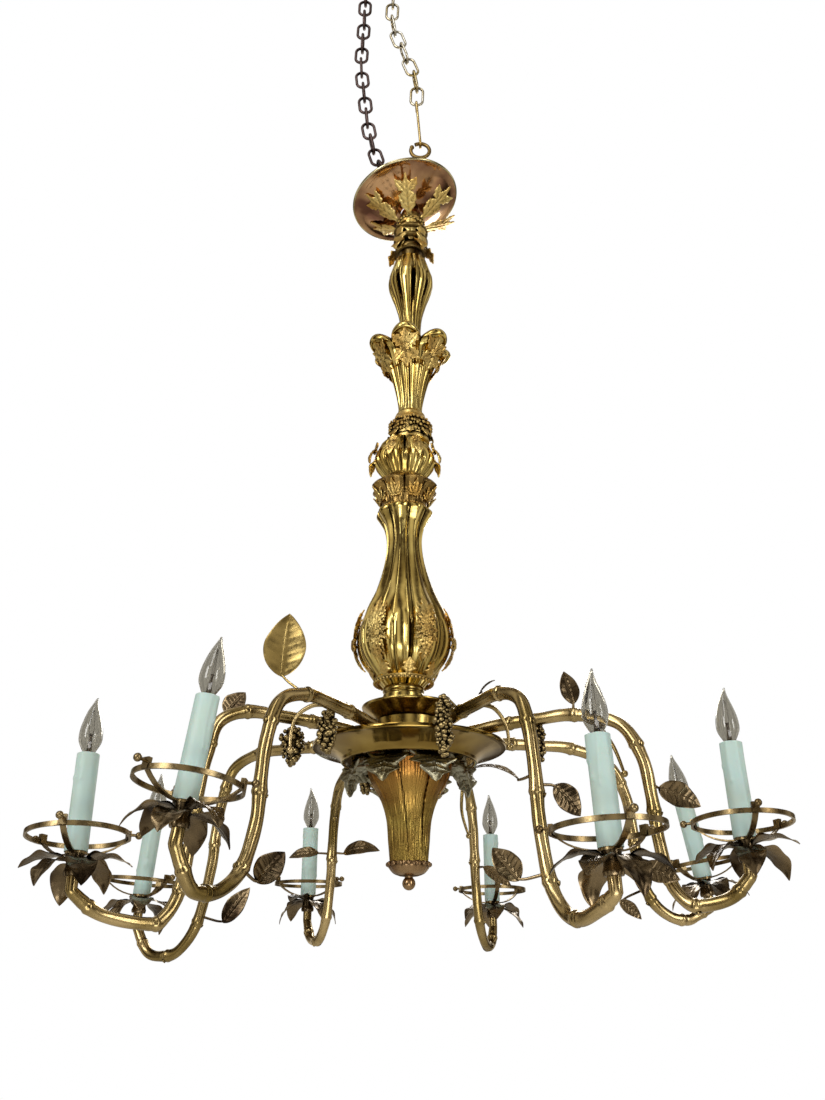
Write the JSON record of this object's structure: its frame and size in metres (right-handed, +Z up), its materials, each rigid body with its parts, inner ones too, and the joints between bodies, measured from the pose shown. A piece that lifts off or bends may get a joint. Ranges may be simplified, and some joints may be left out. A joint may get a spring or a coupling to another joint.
{
  "type": "multi arm chandelier",
  "caption": "Hanging vine-branch chandelier: lobed gilt column on a rod, curved arms with leaf cups, shade rings and candle lamps, hung by chain and hook.",
  "frame": {"origin": "where the load hook's shank enters the ceiling, on its axis", "axes": "+Z up; -Y is the front, +X to the right of it"},
  "size_m": [0.8976, 0.8861, 1.7889],
  "materials": {
    "dark_steel": "oxidised dark steel",
    "nickel_chain": "worn nickel over brass",
    "brass_wire": "bent bright wire",
    "bronzed_iron": "bronzed, rubbed",
    "dark_bronze": "dark patinated bronze",
    "copper_brass": "polished, copper brown lacquer",
    "gilt_castings": "burnished gilt high spots, dark recesses",
    "silvered_leaf": "silvered bronze leaves",
    "amber_gilt": "amber gilt, fibrous grain",
    "gilt_brass": "polished gilt brass with patina",
    "bronze_branch": "bronze branches, rubbed to gold",
    "satin_bronze": "satin bronze",
    "bronze_leaf": "dark brown bronze leaves",
    "berry_bronze": "granular grey gold bronze",
    "candle_wax": "pale blue-green wax-like sleeve",
    "socket_shell": "black moulded lamp holder",
    "clear_glass": "clear blown glass",
    "lamp_cap": "plated lamp cap"
  },
  "bodies": {
    "ceiling": {"load_hook": "dark_steel", "spare_hook": "dark_steel"},
    "suspension": {"load_chain": "nickel_chain", "spare_chain": "dark_steel", "s_hook": "brass_wire"},
    "fixture": {"hanging_eye": "bronzed_iron", "centre_rod": "bronzed_iron", "canopy_collar": "copper_brass", "canopy_sprays": "gilt_castings", "upper_stem": "dark_bronze", "pear_baluster": "gilt_brass", "goblet": "gilt_brass", "goblet_sprays": "gilt_castings", "flower_collar": "gilt_brass", "shell_cup": "gilt_brass", "cup_sprays": "gilt_castings", "leaf_collar": "gilt_brass", "vase": "gilt_brass", "vase_sprays": "gilt_castings", "neck_collar": "gilt_brass", "saucer": "gilt_brass", "arm_hub": "dark_bronze", "pan": "gilt_brass", "acanthus_crown": "silvered_leaf", "bell": "amber_gilt", "bell_collar": "copper_brass", "arm_1": "bronze_branch", "arm_2": "bronze_branch", "arm_3": "bronze_branch", "arm_4": "bronze_branch", "arm_5": "bronze_branch", "arm_6": "bronze_branch", "arm_7": "bronze_branch", "arm_8": "bronze_branch", "shade_rings": "satin_bronze", "leaf_cups": "bronze_leaf", "candle_sleeves": "candle_wax", "lamp_sockets": "socket_shell", "thumb_screws": "satin_bronze", "berry_clusters": "berry_bronze", "branch_leaves": "bronze_leaf"},
    "canopy": {"canopy": "copper_brass"},
    "finial": {"finial": "copper_brass"},
    "bulb_1": {"bulb_glass_1": "clear_glass", "bulb_base_1": "lamp_cap"},
    "bulb_2": {"bulb_glass_2": "clear_glass", "bulb_base_2": "lamp_cap"},
    "bulb_3": {"bulb_glass_3": "clear_glass", "bulb_base_3": "lamp_cap"},
    "bulb_4": {"bulb_glass_4": "clear_glass", "bulb_base_4": "lamp_cap"},
    "bulb_5": {"bulb_glass_5": "clear_glass", "bulb_base_5": "lamp_cap"},
    "bulb_6": {"bulb_glass_6": "clear_glass", "bulb_base_6": "lamp_cap"},
    "bulb_7": {"bulb_glass_7": "clear_glass", "bulb_base_7": "lamp_cap"},
    "bulb_8": {"bulb_glass_8": "clear_glass", "bulb_base_8": "lamp_cap"}
  },
  "joints": [
    {"name": "chain_swing", "type": "hinge", "parent": "ceiling", "child": "suspension", "pos_m": [0, 0, -0.044], "axis": [1, 0, 0], "range_deg": [-20, 20]},
    {"name": "eye_swing", "type": "hinge", "parent": "suspension", "child": "fixture", "pos_m": [0.05026, 0, -0.43402], "axis": [1, 0, 0], "range_deg": [-15, 15]},
    {"name": "canopy_slide", "type": "slide", "parent": "fixture", "child": "canopy", "axis": [0, 0, 1], "range_m": [0, 0.02]},
    {"name": "finial_turn", "type": "hinge", "parent": "fixture", "child": "finial", "pos_m": [0.03426, 0.0027, -1.67077], "axis": [0, 0, 1], "range_deg": [0, 1080]},
    {"name": "bulb_1_turn", "type": "hinge", "parent": "fixture", "child": "bulb_1", "pos_m": [-0.31211, -0.22224, -1.64577], "axis": [-0.0348, 0.0872, 0.9956], "range_deg": [0, 900]},
    {"name": "bulb_2_turn", "type": "hinge", "parent": "fixture", "child": "bulb_2", "pos_m": [-0.17224, -0.35497, -1.61777], "axis": [0.1041, 0.0872, 0.9907], "range_deg": [0, 900]},
    {"name": "bulb_3_turn", "type": "hinge", "parent": "fixture", "child": "bulb_3", "pos_m": [-0.34004, 0.17724, -1.65177], "axis": [0.0698, 0, 0.9976], "range_deg": [0, 900]},
    {"name": "bulb_4_turn", "type": "hinge", "parent": "fixture", "child": "bulb_4", "pos_m": [-0.12711, 0.38287, -1.63377], "axis": [0, -0.0175, 0.9998], "range_deg": [0, 900]},
    {"name": "bulb_5_turn", "type": "hinge", "parent": "fixture", "child": "bulb_5", "pos_m": [0.16872, 0.3932, -1.64177], "axis": [0, 0.0175, 0.9998], "range_deg": [0, 900]},
    {"name": "bulb_6_turn", "type": "hinge", "parent": "fixture", "child": "bulb_6", "pos_m": [0.21531, -0.3685, -1.65977], "axis": [-0.0349, 0.0349, 0.9988], "range_deg": [0, 900]},
    {"name": "bulb_7_turn", "type": "hinge", "parent": "fixture", "child": "bulb_7", "pos_m": [0.39193, -0.2038, -1.62777], "axis": [0, 0.0698, 0.9976], "range_deg": [0, 900]},
    {"name": "bulb_8_turn", "type": "hinge", "parent": "fixture", "child": "bulb_8", "pos_m": [0.43126, 0.11654, -1.63377], "axis": [-0.1564, 0, 0.9877], "range_deg": [0, 900]}
  ]
}
